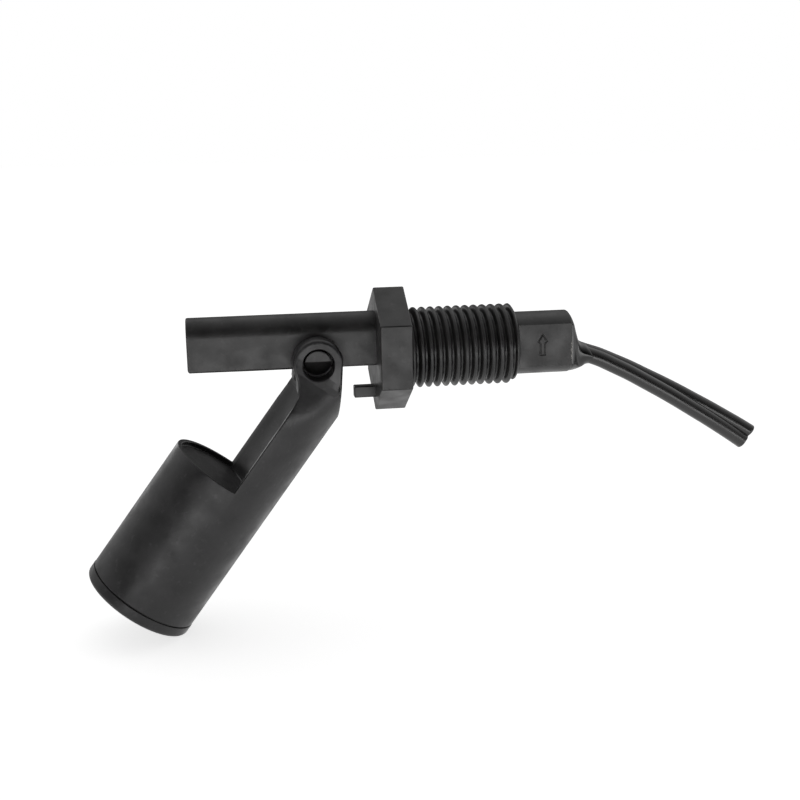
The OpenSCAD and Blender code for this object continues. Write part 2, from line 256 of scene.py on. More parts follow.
def body_piece(name, rings, **shading):
    """A piece of the body's one moulding through the given rings."""
    finish = finish_of("moulded_polypropylene_body")
    return add_piece(name, *closed_tube(rings), "body", finish, "body", **shading)


def merged_copy(node):
    """A CAD node's mesh with its triangles merged, its flats joined and its shortest edges closed."""
    work = bmesh.new()
    work.from_mesh(frame["nodes"][node].data)
    bmesh.ops.remove_doubles(work, verts=work.verts, dist=0.002 * MM)
    bmesh.ops.dissolve_limit(work, angle_limit=math.radians(0.5), verts=work.verts, edges=work.edges)
    bmesh.ops.remove_doubles(work, verts=work.verts, dist=0.12 * MM)
    mesh = bpy.data.meshes.new(node + "_copy")
    work.to_mesh(mesh)
    work.free()
    return mesh


def points_of(mesh):
    """The mesh's points as an array."""
    points = np.zeros(len(mesh.vertices) * 3)
    mesh.vertices.foreach_get("co", points)
    return points.reshape(-1, 3)


def edges_of(mesh):
    """The middle of each edge and the normals of the two faces that meet there."""
    ends, edge = np.zeros(len(mesh.edges) * 2, int), np.zeros(len(mesh.loops), int)
    sides, normals = np.zeros(len(mesh.polygons), int), np.zeros(len(mesh.polygons) * 3)
    mesh.edges.foreach_get("vertices", ends)
    mesh.loops.foreach_get("edge_index", edge)
    mesh.polygons.foreach_get("loop_total", sides)
    mesh.polygons.foreach_get("normal", normals)
    # Every edge of a closed mesh has two corners, so in the order of edges its two faces stand side by side
    face = np.repeat(np.arange(len(sides)), sides)[np.argsort(edge, kind="stable")].reshape(-1, 2)
    return points_of(mesh)[ends.reshape(-1, 2)].mean(axis=1), normals.reshape(-1, 3)[face]


def rounded(mesh, widths, segments=4):
    """The mesh with each edge rounded to its own width, as a new mesh."""
    weight = mesh.attributes.new("bevel_weight_edge", "FLOAT", "EDGE")
    weight.data.foreach_set("value", widths / widths.max())
    trial = bpy.data.objects.new("rounding", mesh)
    bpy.context.scene.collection.objects.link(trial)
    bevel = trial.modifiers.new("Rounded edges", "BEVEL")
    bevel.limit_method = "WEIGHT"
    bevel.width, bevel.segments = widths.max(), segments
    bevel.use_clamp_overlap = False
    done = bpy.data.meshes.new_from_object(trial.evaluated_get(bpy.context.evaluated_depsgraph_get()))
    bpy.data.objects.remove(trial)
    return done


def float_places(points):
    """How far each point lies across the arm, to the side and down the float: the inverse of on_float."""
    away = points - HINGE
    return away @ ACROSS_THE_FLOAT, away[:, 1], away @ DOWN_THE_FLOAT


def on_float(across, side, along):
    """Places on the hanging float: hinge + across * ACROSS_THE_FLOAT + side * Y + along * DOWN_THE_FLOAT."""
    across, side, along = (part[..., None] for part in np.broadcast_arrays(across, side, along))
    return HINGE + across * ACROSS_THE_FLOAT + side * (0, 1, 0) + along * DOWN_THE_FLOAT


def add_node(tree, kind, settings=None, links=None):
    """Adds a shader node, sets its properties and inputs by name or number, and links outputs into inputs."""
    node = tree.nodes.new(kind)
    for key, value in (settings or {}).items():
        if isinstance(key, str) and hasattr(node, key):
            setattr(node, key, value)
        else:
            node.inputs[key].default_value = value
    for key, source in (links or {}).items():
        tree.links.new(source, node.inputs[key])
    return node


def new_material(name, base, roughness, ior=1.5, metallic=0.0):
    """A material with its shader and its Object coordinates, on which each finish adds its own pattern."""
    material = bpy.data.materials.new(name)
    material.use_nodes = True
    material.diffuse_color = (*base[:3], 1)
    tree = material.node_tree
    shader = tree.nodes["Principled BSDF"]
    shader.inputs["Base Color"].default_value = (*base[:3], 1)
    shader.inputs["Roughness"].default_value = roughness
    shader.inputs["Metallic"].default_value = metallic
    if not metallic:
        shader.inputs["IOR"].default_value = ior
    place = add_node(tree, "ShaderNodeTexCoord").outputs["Object"]
    return material, tree, shader, place


def noise(tree, place, size_mm, detail=2.0, stretch=None):
    """A noise whose lumps are size_mm across, drawn out along an axis where stretch is given."""
    if stretch:
        place = add_node(tree, "ShaderNodeMapping", {"Scale": stretch}, {"Vector": place}).outputs[0]
    settings = {"Scale": 1 / (size_mm * MM), "Detail": detail}
    return add_node(tree, "ShaderNodeTexNoise", settings, {"Vector": place}).outputs["Fac"]


def remap(tree, value, low, high, to_low, to_high):
    """A value carried from low to high onto to_low to to_high, and held at both ends."""
    settings = {"From Min": low, "From Max": high, "To Min": to_low, "To Max": to_high}
    return add_node(tree, "ShaderNodeMapRange", settings, {"Value": value}).outputs["Result"]


def combine(tree, operation, one, other):
    """Two values added, multiplied or compared."""
    return add_node(tree, "ShaderNodeMath", {"operation": operation}, {0: one, 1: other}).outputs[0]


def tint(tree, factor, dark, light):
    """Two colours mixed by a factor."""
    mix = add_node(tree, "ShaderNodeMix", {"data_type": "RGBA"})
    mix.inputs[6].default_value = (*dark, 1)
    mix.inputs[7].default_value = (*light, 1)
    tree.links.new(factor, mix.inputs[0])
    return mix.outputs[2]


def bump(tree, shader, height, depth_mm, strength=1.0):
    """Relief of the given depth on the shader's normal."""
    settings = {"Strength": strength, "Distance": depth_mm * MM}
    node = add_node(tree, "ShaderNodeBump", settings, {"Height": height})
    tree.links.new(node.outputs["Normal"], shader.inputs["Normal"])


def scaled(base, factor):
    """A linear colour made lighter or darker."""
    return [min(1, c * factor) for c in base]


def moulded_polypropylene(name, base):
    """Black polypropylene as moulded: a satin skin with fine grain, a cloudy sheen and faint scuffs."""
    material, tree, shader, place = new_material(name, base, 0.5, ior=1.49)
    cloud = remap(tree, noise(tree, place, 5, 6), 0.35, 0.7, 0, 1)
    colour_out = tint(tree, cloud, scaled(base, 0.55), scaled(base, 1.9))
    scuffs = remap(tree, noise(tree, place, 1.3, 8), 0.6, 0.8, 0, 0.5)
    worn = add_node(tree, "ShaderNodeMix", {"data_type": "RGBA"}, {0: scuffs, 6: colour_out})
    worn.inputs[7].default_value = (*scaled(base, 5), 1)
    tree.links.new(worn.outputs[2], shader.inputs["Base Color"])
    sheen = noise(tree, place, 4, 6)
    tree.links.new(remap(tree, sheen, 0.32, 0.68, 0.28, 0.5), shader.inputs["Roughness"])
    bump(tree, shader, noise(tree, place, 0.12, 3), 0.006, 0.6)
    return material


def patterned(name, base, roughness, pattern, ior=1.5, metallic=0.0, clear=0.0, tints=None, sheen=None,
              relief=None):
    """A finish with one pattern, which may run between two colours or two roughnesses and stand in relief."""
    material, tree, shader, place = new_material(name, base, roughness, ior, metallic)
    shader.inputs["Transmission Weight"].default_value = clear
    figure = noise(tree, place, *pattern)
    if tints:
        tree.links.new(tint(tree, figure, *tints), shader.inputs["Base Color"])
    if sheen:
        tree.links.new(remap(tree, figure, 0.3, 0.7, *sheen), shader.inputs["Roughness"])
    if relief:
        bump(tree, shader, figure, *relief)
    return material


def potting_epoxy(name, base):
    """Cast epoxy: it sets with a wet gloss over a slightly wavy skin."""
    return patterned(name, base, 0.16, (2.2, 1), ior=1.55, relief=(0.04, 0.5))


def extruded_pvc(name, base):
    """Extruded PVC jacket: glossy black with faint lines drawn along it, read from the tube's own UV map."""
    material, tree, shader, _ = new_material(name, base, 0.3, ior=1.6)
    along = add_node(tree, "ShaderNodeUVMap", {"uv_map": "jacket"}).outputs["UV"]
    stretched = add_node(tree, "ShaderNodeMapping", {"Scale": (60, 1.5, 1)}, {"Vector": along}).outputs[0]
    # The map has no millimetres: this makes one lump to each unit of the stretched map
    lines = noise(tree, stretched, 1 / MM)
    tree.links.new(remap(tree, lines, 0.3, 0.7, 0.18, 0.32), shader.inputs["Roughness"])
    bump(tree, shader, lines, 0.02, 0.4)
    return material


def dried_glue(name, base):
    """Dried squeeze-out of the resin's primer: pale, half see-through and crumbly."""
    tints = linear("#6f6c68"), linear("#e2dfda")
    return patterned(name, base, 0.55, (0.25, 3), ior=1.47, tints=tints, relief=(0.05,))


def sintered_ferrite(name, base):
    """Pressed and sintered ferrite: dark grey, dull and finely granular."""
    tints = linear("#55565a"), linear("#77787a")
    return patterned(name, base, 0.6, (0.15, 3), ior=1.9, tints=tints, relief=(0.01,))


def reed_tube_glass(name, base):
    """Green-tinted soda glass, drawn as a tube and fused at both ends."""
    return patterned(name, base, 0.03, (1.5, 1), ior=1.52, clear=0.9, relief=(0.01, 0.3))


def plated_nickel_iron(name, base):
    """Rolled nickel-iron with a bright plating: metallic, with fine lines along the lead."""
    return patterned(name, base, 0.3, (0.1, 2, DRAWN_OUT), metallic=1.0, sheen=(0.22, 0.4))


def tin_solder(name, base):
    """Tin solder as it froze: bright metal with soft ripples."""
    return patterned(name, base, 0.25, (0.5, 2), metallic=1.0, relief=(0.02,))


def drawn_copper(name, base):
    """Drawn copper wire, a little dulled: warm metal with lines along it."""
    tints = linear("#a5683d"), linear("#c98c5e")
    return patterned(name, base, 0.3, (0.1, 2, DRAWN_OUT), metallic=1.0, tints=tints)


def core_plastic(name, base):
    """Smooth extruded core insulation, with the faint waviness of a thin wall over wire."""
    tints = scaled(base, 0.85), scaled(base, 1.15)
    return patterned(name, base, 0.4, (0.8, 2, (0.3, 1, 1)), tints=tints, relief=(0.01,))


def finish_of(name):
    """The named material, made the first time it is asked for."""
    colours = bpy.context.scene.switch_colours
    maker, base = {
        "moulded_polypropylene_body": (moulded_polypropylene, colours.body),
        "moulded_polypropylene_float": (moulded_polypropylene, colours.float_shell),
        "potting_epoxy": (potting_epoxy, colours.resin),
        "extruded_pvc": (extruded_pvc, colours.jacket),
        "dried_glue": (dried_glue, linear("#c9c5be")),
        "sintered_ferrite": (sintered_ferrite, linear("#6a6b6e")),
        "reed_tube_glass": (reed_tube_glass, linear("#c4dccf")),
        "plated_nickel_iron": (plated_nickel_iron, linear("#b9b6ae")),
        "tin_solder": (tin_solder, linear("#b4b8bb")),
        "drawn_copper": (drawn_copper, linear("#b87a4d")),
        "core_insulation_red": (core_plastic, linear("#8e2f2a")),
        "core_insulation_black": (core_plastic, linear("#26282c")),
        "shrink_sleeve": (core_plastic, linear("#1d1d1f")),
    }[name]
    return bpy.data.materials.get(name) or maker(name, list(base))


class SWITCH_OT_camera(Operator):
    """Places the camera where the photograph was taken from"""

    bl_idname = "switch.camera"
    bl_label = "Photograph camera"

    def execute(self, context):
        # The place, the aim and the focal length were fitted to the photograph's edges
        place = np.array([-36.29, -234.85, 43.9]) * MM
        right = (0.98817, -0.1523, -0.01781)
        up = (0.05122, 0.21839, 0.97452)
        ahead = (0.14453, 0.9639, -0.22361)
        data = bpy.data.cameras.new("photograph")
        data.sensor_width = 36
        data.lens = 54.77
        camera = bpy.data.objects.new("photograph", data)
        rows = [(right[i], up[i], -ahead[i], place[i]) for i in range(3)]
        camera.matrix_world = Matrix([*rows, (0, 0, 0, 1)])
        context.scene.collection.objects.link(camera)
        context.scene.camera = camera
        return {"FINISHED"}


def figure_of_eight(width, thickness, web_angle=42, points=44):
    """Outline of two round lobes: each an arc of thickness / 2 about its own middle, open towards the web."""
    radius, middle = thickness / 2, (width - thickness) / 2
    right = arc(middle, 0, radius, web_angle - 180, 180 - web_angle, points)
    left = arc(-middle, 0, radius, web_angle, 360 - web_angle, points)
    return np.concatenate([right, left])


def smooth_route(points, count):
    """Points evenly along a curve through the route: by Catmull-Rom, a cubic of the four nearest points."""
    padded = np.concatenate([[2 * points[0] - points[1]], points, [2 * points[-1] - points[-2]]])
    t = np.linspace(0, len(points) - 1 - 1e-9, count)
    i = t.astype(int)
    u = (t - i)[:, None]
    a, b, c, d = (padded[i + k] for k in range(4))
    bend, twist = 2 * a - 5 * b + 4 * c - d, 3 * b - a - 3 * c + d
    return 0.5 * (2 * b + (c - a) * u + bend * u ** 2 + twist * u ** 3), t


def jacket_frames(sizes, count):
    """Centre, wide axis, thin axis and direction of the jacket along its line.

    The wide axis starts along Y and turns about the line by twist * (t / length) ** ease.
    """
    centre, t = smooth_route(CORD_ROUTE, count)
    ahead = np.gradient(centre, axis=0)
    ahead /= np.linalg.norm(ahead, axis=1)[:, None]
    side = np.array([0.0, 1.0, 0.0])
    up = np.cross(ahead, side)
    turn = (sizes.twist * (t / t[-1]) ** sizes.twist_ease)[:, None]
    wide = np.cos(turn) * side + np.sin(turn) * up
    thin = np.cos(turn) * up - np.sin(turn) * side
    return centre, wide, thin, ahead


class SWITCH_OT_cable(Operator):
    """Runs the twin cable from the resin to its cut end"""

    bl_idname = "switch.cable"
    bl_label = "Twin cable"

    def execute(self, context):
        sizes = context.scene.cable_sizes
        outline = figure_of_eight(sizes.width, sizes.thickness)
        centre, wide, thin, ahead = jacket_frames(sizes, 220)
        rings = centre[:, None] + outline[:, 0, None] * wide[:, None] + outline[:, 1, None] * thin[:, None]
        # The cut leaves its edge a little drawn in, over the last ring, and it slants from lobe to lobe
        edge = rings[-1] + (rings[-1] - centre[-1]) * -0.06
        rings = np.concatenate([rings, [edge + ahead[-1] * 0.12 * MM]])
        lobe = (sizes.width - sizes.thickness) / 2
        rings[-2:] += sizes.cut_slant * (outline[:, 0, None] / lobe) * ahead[-1]
        vertices, faces = closed_tube(rings)
        jacket = add_piece("cable_jacket_skin", vertices, faces, "body", finish_of("extruded_pvc"), "jacket")
        self.unwrap(jacket, len(rings), len(outline))
        cores = [self.cut_core(sizes, side, label, slot, centre[-1], wide[-1], ahead[-1])
                 for side, label, slot in ((1, "red", "insulation_a"), (-1, "black", "insulation_b"))]
        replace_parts(jacket, "cable_jacket")
        return {"FINISHED"}

    def unwrap(self, jacket, rings, sides):
        """UV map of the tube: u round the jacket from 0 to 1, v along it in centimetres."""
        mesh = jacket.data
        index = np.zeros(len(mesh.loops), int)
        mesh.loops.foreach_get("vertex_index", index)
        u = (index % sides) / sides
        v = np.minimum(index // sides, rings) * 0.026
        mesh.uv_layers.new(name="jacket").data.foreach_set("uv", np.stack([u, v], -1).ravel())

    def cut_core(self, sizes, side, label, slot, end, wide, ahead):
        """The cut face of one core: a disc of insulation round a disc of copper, both proud of the jacket."""
        middle = end + side * (wide * (sizes.width - sizes.thickness) / 2 + ahead * sizes.cut_slant)
        axes = wide, np.cross(ahead, wide), ahead
        wall = self.disc(f"cut_insulation_{label}", middle, axes, sizes.core_diameter / 2, 0.16 * MM,
                         finish_of(f"core_insulation_{label}"), slot)
        strand = self.disc(f"cut_copper_{label}", middle, axes, sizes.copper_diameter / 2, 0.2 * MM,
                           finish_of("drawn_copper"), "copper")
        return wall, strand

    def disc(self, name, middle, axes, radius, proud, material, slot):
        """A short round bar on the cut face, its edge rounded over a tenth of its radius."""
        wide, up, ahead = axes
        a = turns(32)
        circle = np.cos(a)[:, None] * wide + np.sin(a)[:, None] * up
        heights = [(-1.5 * MM, 1), (proud - 0.05 * MM, 1), (proud, 0.9)]
        rings = np.array([middle + ahead * height + circle * radius * scale for height, scale in heights])
        return add_piece(name, *closed_tube(rings), "body", material, slot)


def stem_outline(sizes):
    """The stem's section: a half round on a box with rounded lower corners, drawn in by inset."""
    half, edge = sizes.stem_width / 2, sizes.stem_edge
    low, middle = edge - sizes.stem_drop, sizes.stem_top - half

    def outline(inset):
        """Two small arcs below and the half round between them."""
        return np.concatenate([
            arc(half - edge, low, edge - inset, -90, 0, 7),
            arc(0, middle, half - inset, 0, 180, 57),
            arc(edge - half, low, edge - inset, 180, 270, 7),
        ])
    return outline


class SWITCH_OT_stem(Operator):
    """Makes the stem that holds the reed switch"""

    bl_idname = "switch.stem"
    bl_label = "Stem"

    def execute(self, context):
        sizes = context.scene.body_sizes
        back = -sizes.hexagon_length
        places = stations(BODY_LOW.x, back + 0.5 * MM, 0.35 * MM, 0.1 * MM, spans=3)
        rings = along_x(stem_outline(sizes), places)
        # The underside rises round the tip's lower corner, a quarter circle of tip_round
        rise = np.clip(BODY_LOW.x + sizes.tip_round - rings[..., 0], 0, sizes.tip_round)
        floor = sizes.tip_round - np.sqrt(sizes.tip_round ** 2 - rise ** 2) - sizes.stem_drop
        rings[..., 2] = np.maximum(rings[..., 2], floor)
        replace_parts(body_piece("stem", rings), "switch_body")
        return {"FINISHED"}


class SWITCH_OT_hexagon(Operator):
    """Makes the hexagon that the spanner holds"""

    bl_idname = "switch.hexagon"
    bl_label = "Hexagon"

    def execute(self, context):
        sizes = context.scene.body_sizes
        corner = 0.4 * MM
        reach = (sizes.hexagon_width / 2 - corner) / math.cos(math.radians(30))

        def outline(inset):
            """Six corner arcs about points at reach from the axis, the first corner straight up."""
            corners = []
            for turn in range(90, 450, 60):
                y, z = reach * math.cos(math.radians(turn)), reach * math.sin(math.radians(turn))
                corners.append(arc(y, z, corner - inset, turn - 30, turn + 30, 7))
            return np.concatenate(corners)
        rings = along_x(outline, stations(-sizes.hexagon_length, 0, 0.3 * MM, 0.3 * MM))
        body_piece("hexagon", rings)
        return {"FINISHED"}


class SWITCH_OT_shank(Operator):
    """Cuts the thread on the shank"""

    bl_idname = "switch.shank"
    bl_label = "Threaded shank"

    def execute(self, context):
        sizes = context.scene.body_sizes
        pitch, crest = sizes.thread_pitch, sizes.thread_diameter / 2
        root = crest - sizes.thread_depth
        # A right-hand helix: the crest passes x = crest_start + pitch * angle / 360, angle from +Y towards +Z
        crest_start = 1.52 * MM
        angle = turns(160)
        x = np.linspace(-0.4 * MM, sizes.thread_length, 260)[:, None]
        phase = (x - crest_start) / pitch - angle / (2 * math.pi)
        phase -= np.round(phase)
        rib = np.maximum(1 - (np.abs(2 * phase) / 0.78) ** 2.2, 0) ** 0.75
        # The rib dies away over the last three quarters of a millimetre
        fade = np.clip((sizes.thread_length - x) / (0.75 * MM), 0, 1) ** 0.7
        radius = root + sizes.thread_depth * rib * fade
        rings = np.stack([x + 0 * radius, radius * np.cos(angle), radius * np.sin(angle)], -1)
        drawn_in = rings[-1:].copy()
        drawn_in[..., 1:] *= 0.9
        drawn_in[..., 0] += 0.1 * MM
        rings = np.concatenate([rings, drawn_in])
        body_piece("threaded_shank", rings, sharp=70, even=False)
        return {"FINISHED"}


def arrow_line(x, z, sizes):
    """How deep the arrow is cut at (x, z), from 0 to 1: a round groove about the nearest of its sides."""
    height = sizes.arrow_height
    middle, top = 27.02 * MM, 2.3 * MM
    half_head, half_shaft = 0.21 * height, 0.11 * height
    head, neck = top - 0.335 * height, top - 0.46 * height
    right = [(0, top), (half_head, head), (half_shaft, neck), (half_shaft, top - height)]
    outline = np.array(right + [(-across, up) for across, up in right[::-1]])
    point = np.stack([x - middle, z], -1)
    nearest = np.full(x.shape, 1.0)
    for start, end in zip(outline, np.roll(outline, -1, axis=0)):
        side = end - start
        reach = max(side @ side, 1e-18)
        along = np.clip(((point - start) @ side) / reach, 0, 1)
        nearest = np.minimum(nearest, np.linalg.norm(point - start - along[..., None] * side, axis=-1))
    return np.clip(1 - (nearest / (0.17 * MM)) ** 2, 0, 1)


class SWITCH_OT_tail(Operator):
    """Makes the tail barrel with its two flats and the arrow"""

    bl_idname = "switch.tail"
    bl_label = "Tail barrel"

    def execute(self, context):
        sizes = context.scene.body_sizes
        radius, flat = sizes.tail_diameter / 2, sizes.tail_flats / 2

        def outline(inset):
            """A circle cut by two flats: the back flat up, the top arc, the front flat down, the under arc."""
            r, y = radius - inset, flat - inset
            corner = math.degrees(math.acos(y / r))
            z = math.sqrt(r * r - y * y)
            back = np.column_stack([np.full(20, y), np.linspace(-z, z, 20)])
            front = np.column_stack([np.full(130, -y), np.linspace(z, -z, 130)])
            top = arc(0, 0, r, corner, 180 - corner, 36)[1:-1]
            under = arc(0, 0, r, 180 + corner, 360 - corner, 36)[1:-1]
            return np.concatenate([back, top, front, under])
        start, end = sizes.thread_length - 0.5 * MM, BODY_HIGH.x + sizes.tail_lip
        rings = along_x(outline, stations(start, end, 0.1 * MM, 0.3 * MM, spans=140))
        front = slice(20 + 34, 20 + 34 + 130)
        face = rings[6:-6, front]
        face[..., 1] += sizes.arrow_depth * arrow_line(face[..., 0], face[..., 2], sizes)
        body_piece("tail_barrel", rings, sharp=30)
        return {"FINISHED"}


class SWITCH_OT_stop_peg(Operator):
    """Makes the square peg that stops the falling float"""

    bl_idname = "switch.stop_peg"
    bl_label = "Stop peg"

    def execute(self, context):
        sizes = context.scene.body_sizes
        corner, height = 0.25 * MM, -8.3 * MM
        middle = sizes.peg_side / 2 - corner

        def outline(inset):
            """Four corner arcs of a square about the peg's axis."""
            corners = ((1, -1, -90), (1, 1, 0), (-1, 1, 90), (-1, -1, 180))
            return np.concatenate([arc(side * middle, height + up * middle, corner - inset, turn, turn + 90, 6)
                                   for side, up, turn in corners])
        back = -sizes.hexagon_length
        rings = along_x(outline, stations(back - sizes.peg_length, back + 0.5 * MM, 0.2 * MM, 0.1 * MM))
        body_piece("stop_peg", rings)
        return {"FINISHED"}


class SWITCH_OT_hinge_stubs(Operator):
    """Makes the two stubs that the float turns on, each with a half-moon land and a ramp below it"""

    bl_idname = "switch.hinge_stubs"
    bl_label = "Hinge stubs"

    def execute(self, context):
        sizes = context.scene.body_sizes
        radius, land = sizes.stub_diameter / 2, sizes.stub_span / 2
        ramp_end, land_edge = 4.6 * MM, 0.5 * MM
        angle = turns(96)
        edge = 0.15 * MM

        def face(up):
            """Where the stub ends: at the land, and below the land's edge on a straight ramp to the stem."""
            return np.minimum(land, ramp_end + (up + radius) * (land - ramp_end) / (land_edge + radius))
        for side, label in ((1, "back"), (-1, "front")):
            rings = []
            for reach, back in [(radius, None), (radius, edge), (radius - 0.3 * edge, 0.3 * edge),
                                *((r, 0) for r in np.linspace(radius - edge, 0.05 * MM, 28))]:
                up = reach * np.cos(angle)
                out = np.full(96, 3 * MM) if back is None else face(up) - back
                rings.append(np.stack([HINGE[0] + side * reach * np.sin(angle), side * out, HINGE[2] + up], -1))
            body_piece(f"hinge_stub_{label}", np.array(rings), sharp=EDGE_MEET)
        return {"FINISHED"}


class SWITCH_OT_float_shell(Operator):
    """Rounds the float's shell, its arm and its ears as the mould does"""

    bl_idname = "switch.float_shell"
    bl_label = "Float shell"

    def execute(self, context):
        sizes = context.scene.float_sizes
        mesh = merged_copy("float_shell")
        # The ears' edges are cut into short pieces first, so that their rounding can narrow from piece to piece
        self.cut_across(mesh, np.arange(0.5, 9, 1) * MM, DOWN_THE_FLOAT)
        mesh = rounded(mesh, self.widths(mesh, sizes))
        self.cut_across(mesh, np.arange(-5, 14.5, 0.55) * MM, DOWN_THE_FLOAT)
        self.cut_across(mesh, np.arange(-5, 10.3, 0.55) * MM, ACROSS_THE_FLOAT, reach=14.2 * MM)
        self.cut_arm(mesh)
        vertices = self.moved(points_of(mesh), sizes)
        faces = [list(face.vertices) for face in mesh.polygons]
        floor, floor_faces = self.dish_floor(sizes)
        faces += [[len(vertices) + corner for corner in face] for face in floor_faces]
        vertices = np.concatenate([vertices, floor])
        finish = finish_of("moulded_polypropylene_float")
        shell = add_piece("float_shell_skin", vertices, faces, "float", finish, "float", sharp=32)
        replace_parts(shell, "float_shell")
        return {"FINISHED"}

    def widths(self, mesh, sizes):
        """Width of the rounding on each edge: wide round the ears and along the arm, narrow elsewhere.

        The ears' rounding narrows down the arm and down the heel. The edges of the slot and those between
        a cheek and the round wall have none.
        """
        middle, normals = edges_of(mesh)
        across, side, along = float_places(middle)
        side = np.abs(side)
        meet = np.degrees(np.arccos(np.clip((normals[:, 0] * normals[:, 1]).sum(axis=-1), -1, 1))) > EDGE_MEET
        width = np.where(meet, sizes.edge_round, 0)
        # The ears' outer edges, clear of the holes; below the hinge their rounding fades over 6 mm
        ear = meet & (side > 7 * MM) & (along < 9 * MM) & (np.hypot(across, along) > 3.5 * MM)
        fade = np.clip((along - 2.5 * MM) / (6 * MM), 0, 1)
        width = np.where(ear, sizes.ear_round * (1 - fade) + sizes.edge_round * fade, width)
        # The long edges of the arm's cut faces: the outer ones are rounded, the slot's stay sharp
        arm = meet & (across < 0.6 * MM) & (along > 10 * MM) & (along < RECESS_FLOOR - 0.4 * MM)
        width = np.where(arm & (side > 10.5 * MM), sizes.arm_round, width)
        width = np.where(arm & (side < SLOT_HALF + 0.35 * MM), 0, width)
        # The edge where a cheek meets the round wall: both faces look to the same side
        outward = normals[..., 1]
        cheek = (np.abs(outward).min(axis=1) > 0.3) & (outward[:, 0] * outward[:, 1] > 0) & (side > 6 * MM)
        # The heel's edges narrow from the ears down to a hair
        heel = meet & (across > 4 * MM) & (along > 0) & (along < 12 * MM)
        width = np.where(heel, np.maximum(sizes.ear_round * (1 - along / (8 * MM)), 0.12 * MM), width)
        return np.where(cheek, 0, width)

    def cut_across(self, mesh, places, direction, reach=60 * MM):
        """Cuts the outer faces nearer to the hinge than reach at each place along the direction."""

        def outer(faces):
            """Whether each face lies outside the slot and away from the ears' holes."""
            across, side, along = float_places(np.array([face.calc_center_median() for face in faces]))
            outside = (np.abs(side) > 4.7 * MM) | (across > 9 * MM)
            return outside & (along < reach) & (np.hypot(across, along) > 3.2 * MM)
        self.cut(mesh, [HINGE + direction * place for place in places], direction, outer)

    def dish(self, side, sizes):
        """Depth of the hollow along the arm at a place to the side: an arc of dish_radius."""
        half, radius = sizes.dish_half, sizes.dish_radius
        inside = np.minimum(np.abs(side), half)
        return np.sqrt(radius ** 2 - inside ** 2) - math.sqrt(radius ** 2 - half ** 2)

    def dish_floor(self, sizes):
        """The middle of the hollow, a bar that fills the slot between the arm's two sides from below."""
        y = np.linspace(-SLOT_HALF, SLOT_HALF, 21)
        top = CUT_FACE + self.dish(y, sizes)
        # The bar's sides stand in the slot's walls, its underside in the heel wall
        wall, underside, lap = SLOT_HALF + 0.15 * MM, 8.9 * MM, 0.15 * MM
        rings = []
        # The bar's upper end is rounded off, and its lower end stands in the float's top
        for along, low in ((4.8, 4.0), (5.0, 2.4), (5.4, 1.2), (6.0, 0.5), (7.0, 0.1), (8.0, 0.0), (30.2, 0.0)):
            floor = top + low * MM
            across = np.concatenate([[floor[0] + lap], floor, [floor[0] + lap, underside, underside]])
            side = np.concatenate([[-wall], y, [wall, wall, -wall]])
            rings.append(on_float(across, side, along * MM))
        return closed_tube(np.array(rings))

    def cut_arm(self, mesh):
        """Cuts the arm's two cut faces along it, so that they can be dished."""

        def upper(faces):
            """Whether each face looks up from the arm."""
            return [face.normal.dot(ACROSS_THE_FLOAT) < -0.9 for face in faces]
        self.cut(mesh, [(0, side * place, 0) for place in np.arange(5.6, 11) * MM for side in (1, -1)],
                 (0, 1, 0), upper)

    def cut(self, mesh, places, direction, picked):
        """Cuts the picked faces with a plane across the direction at each place."""
        work = bmesh.new()
        work.from_mesh(mesh)
        for place in places:
            every = list(work.faces)
            faces = [face for face, wanted in zip(every, picked(every)) if wanted]
            edges = {edge for face in faces for edge in face.edges}
            corners = {corner for face in faces for corner in face.verts}
            bmesh.ops.bisect_plane(work, geom=[*faces, *edges, *corners], plane_co=place, plane_no=direction)
        work.to_mesh(mesh)
        work.free()

    def moved(self, points, sizes):
        """The points where the cheeks are eased, the arm's cut faces dished and the recess's rim thinned."""
        places = float_places(points)
        return points + self.eased(*places, sizes) + self.dished(*places, sizes) + self.thinned(*places, sizes)

    def eased(self, across, side, along, sizes):
        """Eases each cheek into the round wall.

        Where the two lie within k of each other, h is k less their distance and the surface moves in by
        h * h / (4 k), less the nearer it lies to the slot. The cheek is 8.5 mm out at the hinge, and from
        1 mm below it bends out by 3 mm over 9.5 mm, to the power 1.6.
        """
        wall = np.sqrt(np.maximum((sizes.diameter / 2) ** 2 - (across - sizes.axis_offset) ** 2, 0))
        cheek = 8.5 * MM + 3 * MM * np.maximum((along - 1 * MM) / (9.5 * MM), 0) ** 1.6
        near = np.maximum(sizes.cheek_blend - np.abs(wall - cheek), 0)
        inner = 4.6 * MM
        outer = (np.abs(side) - inner) / (np.maximum(np.minimum(wall, cheek), 5 * MM) - inner)
        inward = np.sign(side) * np.clip(outer, 0, 1) * near ** 2 / (4 * sizes.cheek_blend)
        return inward[:, None] * (0, -1, 0)

    def dished(self, across, side, along, sizes):
        """Sinks the arm's cut faces to the dish, from nothing at 5 mm below the hinge to all of it at 8 mm."""
        cut = np.clip((2.2 * MM - across) / (1.8 * MM), 0, 1) * np.clip((along - 5 * MM) / (3 * MM), 0, 1)
        cut *= (np.abs(side) > 3.9 * MM) & (across > -0.3 * MM) & (along < 31 * MM)
        return (self.dish(side, sizes) * cut)[:, None] * ACROSS_THE_FLOAT

    def thinned(self, across, side, along, sizes):
        """Thins the rim round the recess on the float's top: its inner edge moves out from the float's axis."""
        off_axis = across - sizes.axis_offset
        reach = np.hypot(off_axis, side)
        rim = (np.abs(reach - 10 * MM) < 0.35 * MM) & (across < CUT_FACE - 0.05 * MM)
        rim &= (along > RECESS_FLOOR - 0.3 * MM) & (along < FLOAT_TOP + 0.2 * MM)
        wider = np.where(rim, sizes.rim_thinning / np.maximum(reach, MM), 0)[:, None]
        return wider * (off_axis[:, None] * ACROSS_THE_FLOAT + side[:, None] * (0, 1, 0))


